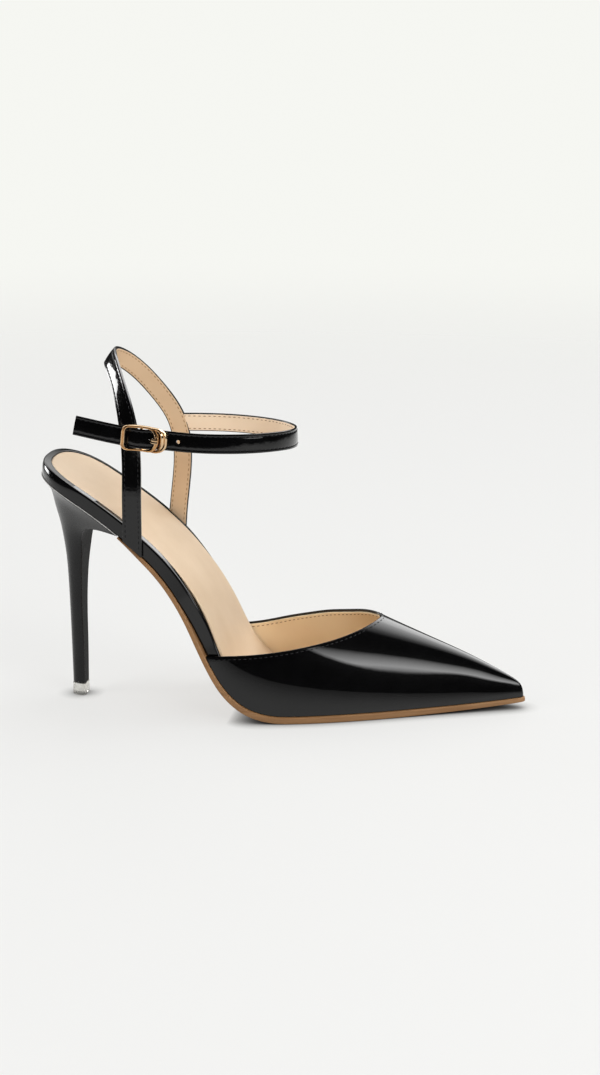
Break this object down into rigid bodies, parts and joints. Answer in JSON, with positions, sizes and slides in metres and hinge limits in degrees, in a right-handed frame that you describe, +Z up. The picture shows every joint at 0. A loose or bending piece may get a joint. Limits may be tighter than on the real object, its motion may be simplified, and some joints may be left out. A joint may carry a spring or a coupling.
{
  "type": "pointed toe high heel",
  "caption": "Right women's ankle strap shoe with a pointed closed toe, open waist, slim tall heel, heel strap and buckled ankle strap.",
  "frame": {"origin": "on the floor under the middle of the heel tip", "axes": "+X from the heel to the toe, +Y to the wearer's left, the inner side, +Z up from the floor"},
  "size_m": [0.2153, 0.0766, 0.1599],
  "materials": {
    "black_patent": "black patent leather with a clear glossy coat",
    "beige_lining": "smooth matt beige lining",
    "tan_outsole": "satin tan sole",
    "black_heel": "satin gloss black",
    "clear_tip": "whitish translucent tip",
    "gold_metal": "polished pale gold"
  },
  "bodies": {
    "root": {"footbed": "black_patent", "vamp": "black_patent", "straps": "black_patent", "insole": "beige_lining", "outsole": "tan_outsole", "heel": "black_heel", "heel_tip": "clear_tip", "buckle_frame": "gold_metal", "buckle_prong": "gold_metal"}
  },
  "joints": []
}
